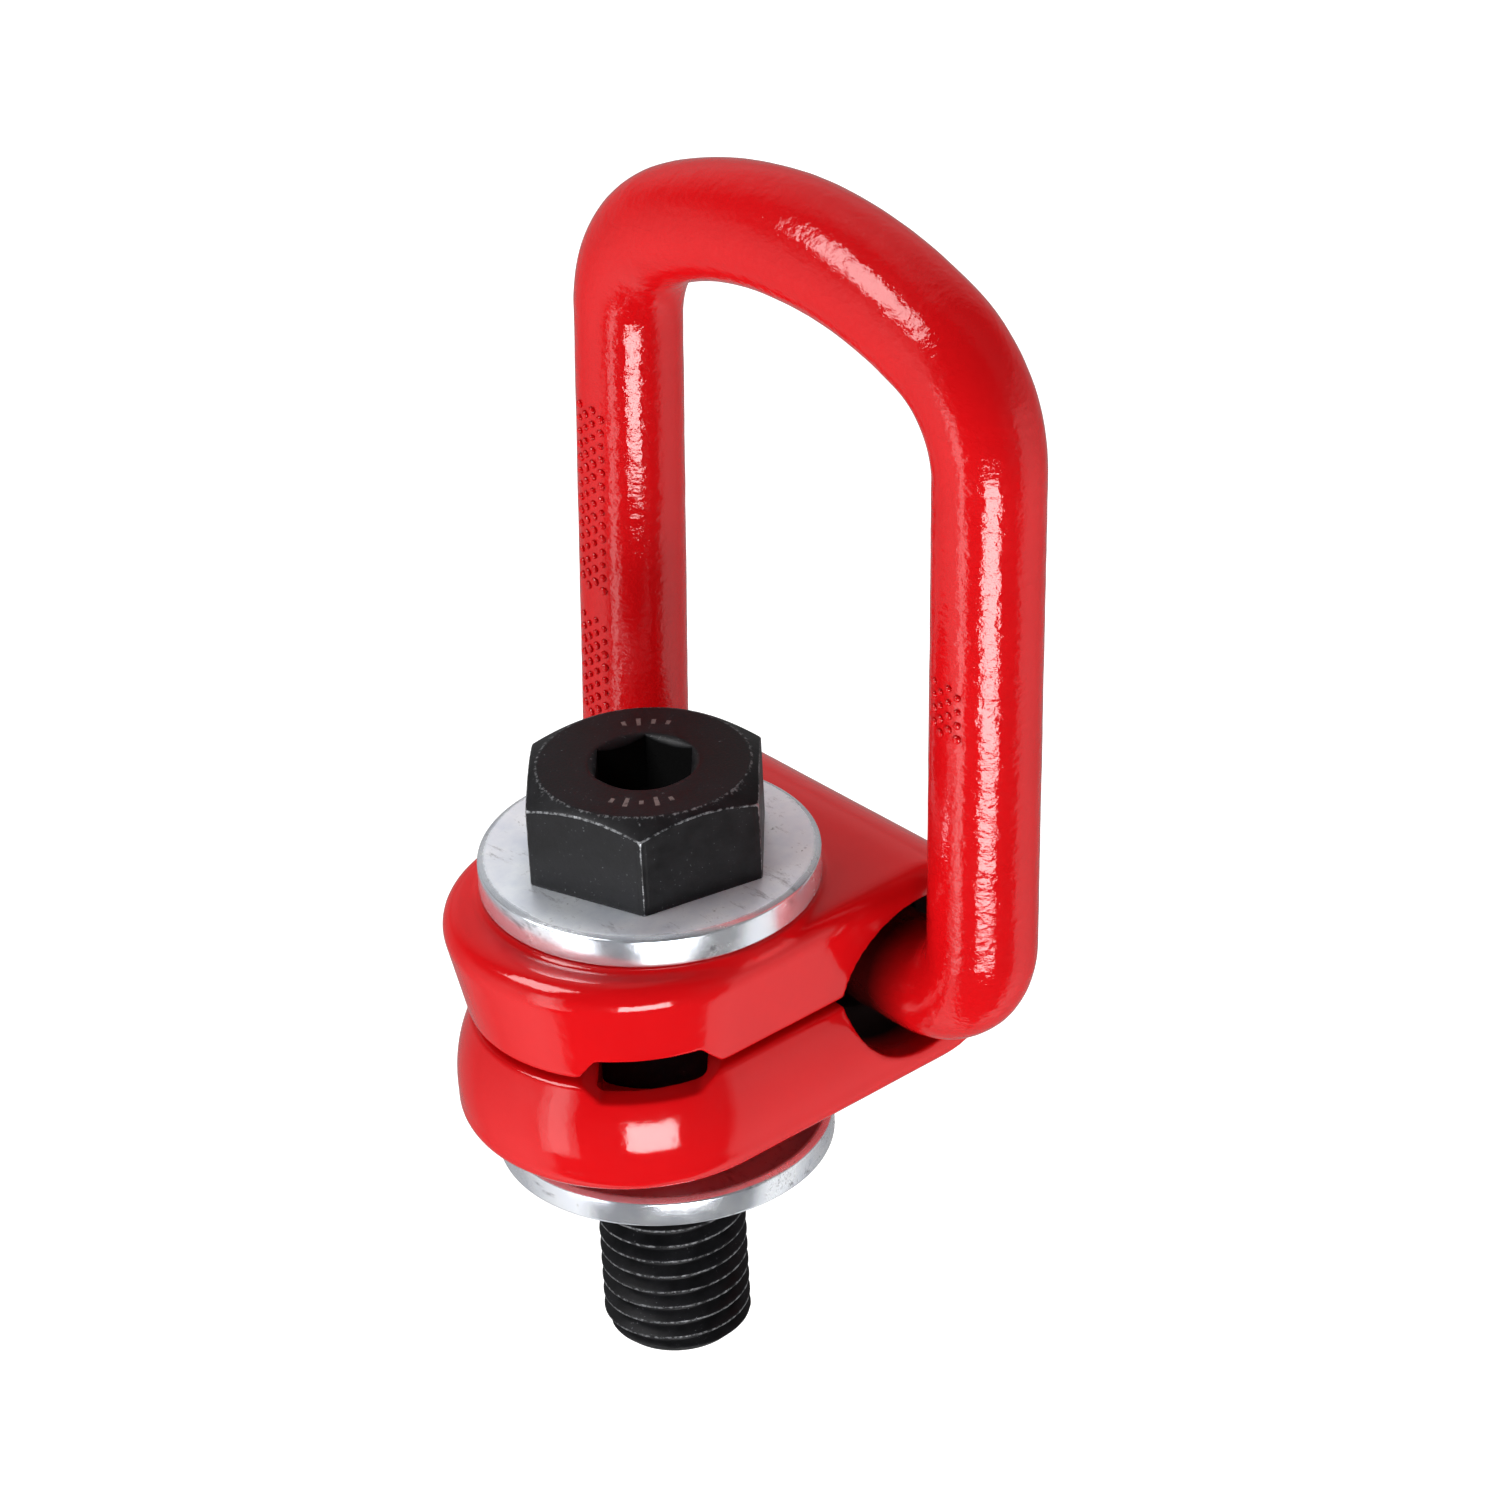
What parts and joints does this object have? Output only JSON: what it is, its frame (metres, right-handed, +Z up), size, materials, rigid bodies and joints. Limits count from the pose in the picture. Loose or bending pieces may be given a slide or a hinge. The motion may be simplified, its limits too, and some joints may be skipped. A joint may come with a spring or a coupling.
{
  "type": "swivel hoist ring",
  "caption": "Bolt-on swivel hoist ring: a forged body turns on a bushed hoist bolt and carries a D-shaped lifting bail that pivots in its loop.",
  "frame": {"origin": "on the bolt's axis at the underside of the bushing flange, where the ring seats on its load", "axes": "+Z up along the bolt, out of the load; +X from the bolt to the bail's pivot bar; +Y along the pivot bar"},
  "size_m": [0.0706, 0.084, 0.1596],
  "materials": {
    "red_paint": "gloss enamel over forged steel",
    "black_oxide": "black oxide, worn bright on edges",
    "black_sleeve": "black phosphate, oiled",
    "zinc_plate": "bright zinc plate, fine scratches",
    "spring_steel": "satin spring steel"
  },
  "bodies": {
    "bushing": {"bushing_sleeve": "black_sleeve", "bushing_flange": "zinc_plate"},
    "bolt": {"hoist_bolt": "black_oxide", "load_washer": "zinc_plate", "bolt_retaining_ring": "spring_steel"},
    "swivel": {"swivel_body": "red_paint", "bail_friction_spring": "spring_steel"},
    "bail": {"bail": "red_paint"}
  },
  "joints": [
    {"name": "bolt_turn", "type": "hinge", "parent": "bushing", "child": "bolt", "pos_m": [0, 0, 0], "axis": [0, 0, 1], "continuous": true},
    {"name": "swivel_turn", "type": "hinge", "parent": "bushing", "child": "swivel", "pos_m": [0, 0, 0.0235], "axis": [0, 0, 1], "continuous": true},
    {"name": "bail_pivot", "type": "hinge", "parent": "swivel", "child": "bail", "pos_m": [0.026, 0, 0.0234], "axis": [0, 1, 0], "range_deg": [-101, 95]}
  ]
}
